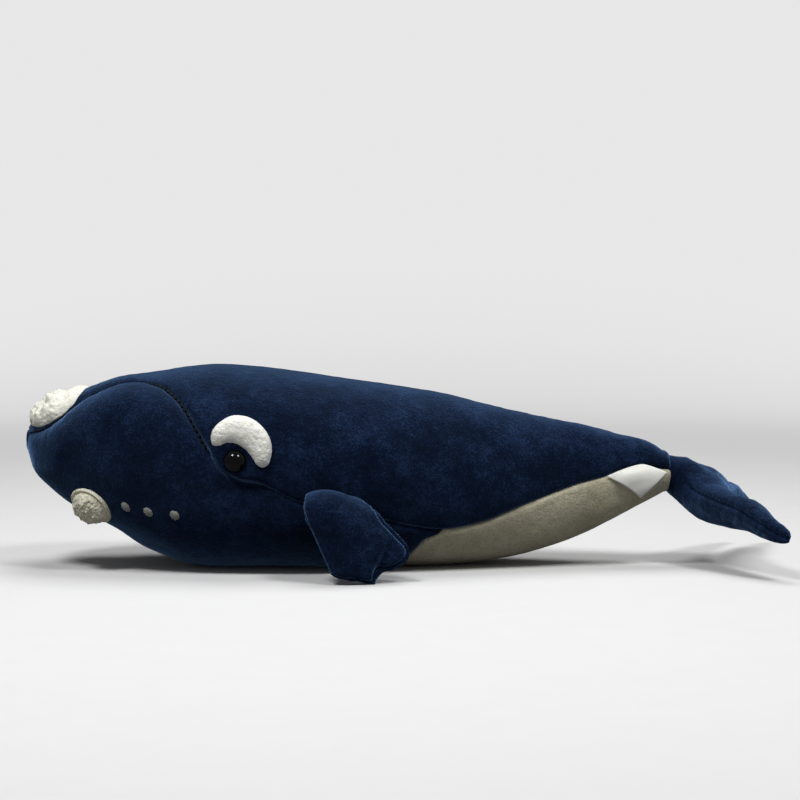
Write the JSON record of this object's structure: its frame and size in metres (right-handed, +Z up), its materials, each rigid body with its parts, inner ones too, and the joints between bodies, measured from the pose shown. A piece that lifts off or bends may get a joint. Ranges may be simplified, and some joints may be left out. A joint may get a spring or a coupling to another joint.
{
  "type": "plush whale",
  "caption": "Stuffed navy plush right whale with white sherpa patches, a cream belly, flippers, tail flukes and a bare satin label.",
  "frame": {"origin": "bottom centre of the whole toy's box, on the floor plane", "axes": "-X towards the snout, +X towards the tail, -Y to the whale's left, +Z up"},
  "size_m": [0.3965, 0.1564, 0.1069],
  "materials": {
    "navy_plush": "matte",
    "navy_plush_jaw": "matte",
    "cream_plush": "matte",
    "white_pile": "matte",
    "polyester_fibre": "matte",
    "black_plastic": "gloss",
    "clear_plastic": "satin",
    "dark_thread": "matte",
    "pale_thread": "satin",
    "satin_tape": "satin"
  },
  "bodies": {
    "trunk": {"trunk_filling": "polyester_fibre", "belly_panel": "cream_plush", "rostrum_patch": "white_pile", "back_panel_left": "navy_plush", "jaw_panel_left": "navy_plush_jaw", "eye_left": "black_plastic", "eye_washer_left": "clear_plastic", "brow_patch_left": "white_pile", "chin_patch_left": "white_pile", "mouth_thread_left": "dark_thread", "jaw_spot_left_1": "pale_thread", "jaw_spot_left_2": "pale_thread", "jaw_spot_left_3": "pale_thread", "back_panel_right": "navy_plush", "jaw_panel_right": "navy_plush_jaw", "eye_right": "black_plastic", "eye_washer_right": "clear_plastic", "brow_patch_right": "white_pile", "chin_patch_right": "white_pile", "mouth_thread_right": "dark_thread", "jaw_spot_right_1": "pale_thread", "jaw_spot_right_2": "pale_thread", "jaw_spot_right_3": "pale_thread"},
    "flipper_left": {"flipper_left_upper": "navy_plush", "flipper_left_lower": "navy_plush", "flipper_left_filling": "polyester_fibre"},
    "flipper_right": {"flipper_right_upper": "navy_plush", "flipper_right_lower": "navy_plush", "flipper_right_filling": "polyester_fibre"},
    "flukes": {"flukes_upper": "navy_plush", "flukes_lower": "navy_plush", "flukes_filling": "polyester_fibre"},
    "label": {"care_label": "satin_tape"}
  },
  "joints": [
    {"name": "flipper_left_hinge", "type": "hinge", "parent": "trunk", "child": "flipper_left", "pos_m": [-0.03405, -0.05091, 0.04014], "axis": [-0.974, -0.1205, 0.1918], "range_deg": [-10, 38], "stiffness_Nm_per_rad": 0.1},
    {"name": "flipper_right_hinge", "type": "hinge", "parent": "trunk", "child": "flipper_right", "pos_m": [-0.03405, 0.05091, 0.04014], "axis": [0.974, -0.1205, -0.1918], "range_deg": [-10, 38], "stiffness_Nm_per_rad": 0.1},
    {"name": "flukes_hinge", "type": "hinge", "parent": "trunk", "child": "flukes", "pos_m": [0.14575, 0, 0.04972], "axis": [0, -1, 0], "range_deg": [-5, 25], "stiffness_Nm_per_rad": 0.4},
    {"name": "label_flap", "type": "hinge", "parent": "trunk", "child": "label", "pos_m": [0.12045, -0.01525, 0.05156], "axis": [-0.9334, -0.1997, -0.2983], "range_deg": [0, 60], "stiffness_Nm_per_rad": 0.0005}
  ]
}
